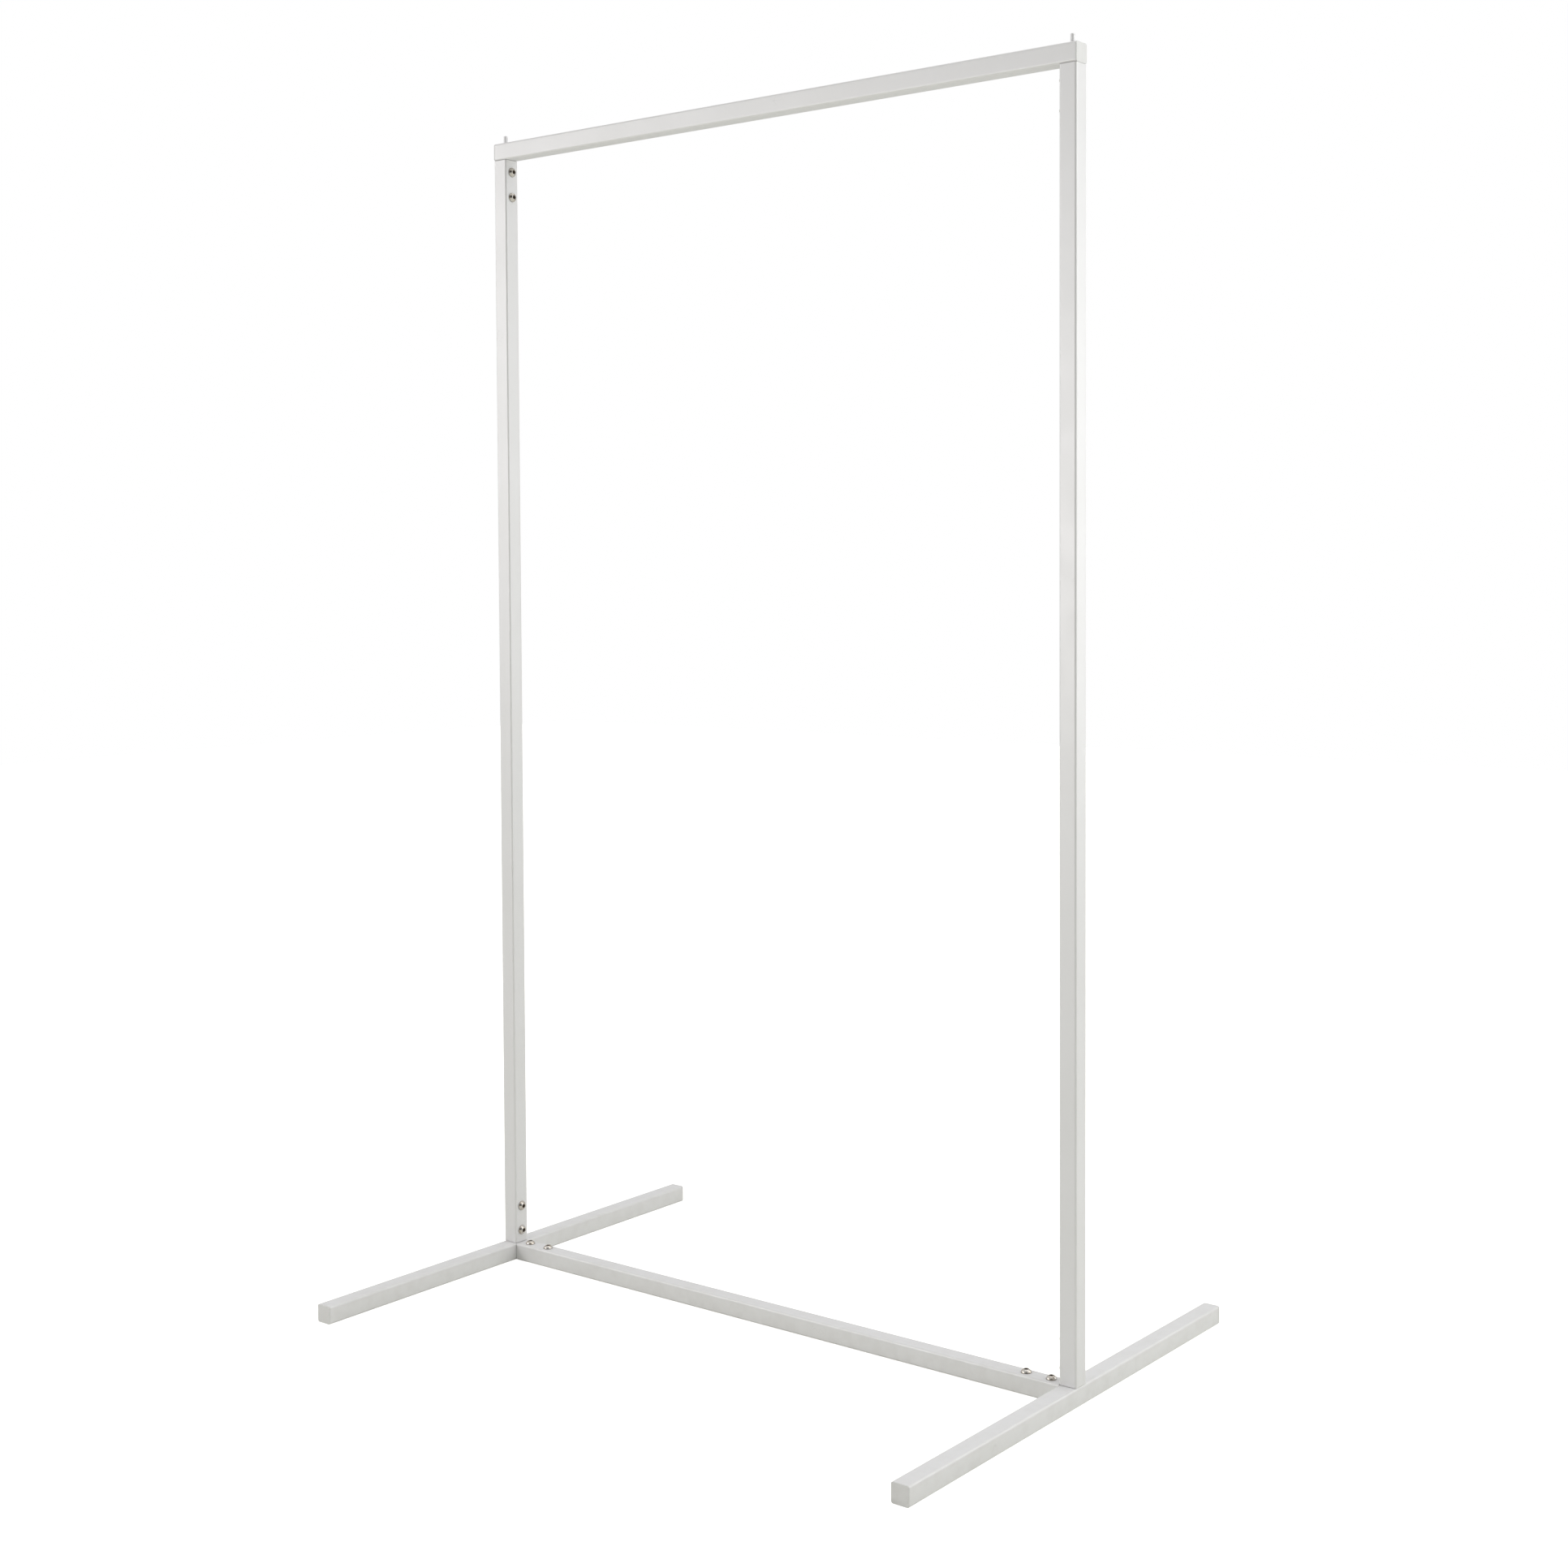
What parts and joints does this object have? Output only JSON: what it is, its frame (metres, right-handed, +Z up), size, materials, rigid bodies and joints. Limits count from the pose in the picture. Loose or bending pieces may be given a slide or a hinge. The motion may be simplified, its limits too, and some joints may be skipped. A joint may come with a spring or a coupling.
{
  "type": "partition wall",
  "caption": "Frame of a free-standing partition wall: slim white square tube, long flat feet, floor-level crossbar, top bar with locating pins.",
  "frame": {"origin": "on the floor, midway between the uprights and midway along the feet", "axes": "+X to the right along the top bar, +Y to the back along the feet, +Z up"},
  "size_m": [1, 0.75, 1.692],
  "materials": {
    "frame_coat": "white powder coat, satin, on steel tube",
    "tenon_coat": "the same powder coat, thinner, rubbed at the lead-in",
    "end_caps": "white moulded polyethylene, fine grain",
    "screws": "bright nickel plate",
    "weld_nuts": "plain steel, dull"
  },
  "bodies": {
    "root": {"left_foot": "frame_coat", "right_foot": "frame_coat", "left_upright": "frame_coat", "right_upright": "frame_coat", "top_bar": "frame_coat", "crossbar": "frame_coat", "left_foot_front_cap": "end_caps", "left_foot_rear_cap": "end_caps", "right_foot_front_cap": "end_caps", "right_foot_rear_cap": "end_caps", "top_bar_left_cap": "end_caps", "top_bar_right_cap": "end_caps", "left_base_tenon": "tenon_coat", "right_base_tenon": "tenon_coat", "left_bar_tenon": "tenon_coat", "right_bar_tenon": "tenon_coat", "left_head_tenon": "tenon_coat", "right_head_tenon": "tenon_coat", "left_pin": "frame_coat", "right_pin": "frame_coat", "left_base_lower_screw": "screws", "left_base_upper_screw": "screws", "right_base_lower_screw": "screws", "right_base_upper_screw": "screws", "left_head_upper_screw": "screws", "left_head_lower_screw": "screws", "right_head_upper_screw": "screws", "right_head_lower_screw": "screws", "left_bar_outer_screw": "screws", "left_bar_inner_screw": "screws", "right_bar_outer_screw": "screws", "right_bar_inner_screw": "screws", "left_base_lower_nut": "weld_nuts", "left_base_upper_nut": "weld_nuts", "right_base_lower_nut": "weld_nuts", "right_base_upper_nut": "weld_nuts", "left_head_upper_nut": "weld_nuts", "left_head_lower_nut": "weld_nuts", "right_head_upper_nut": "weld_nuts", "right_head_lower_nut": "weld_nuts", "left_bar_outer_nut": "weld_nuts", "left_bar_inner_nut": "weld_nuts", "right_bar_outer_nut": "weld_nuts", "right_bar_inner_nut": "weld_nuts"}
  },
  "joints": []
}
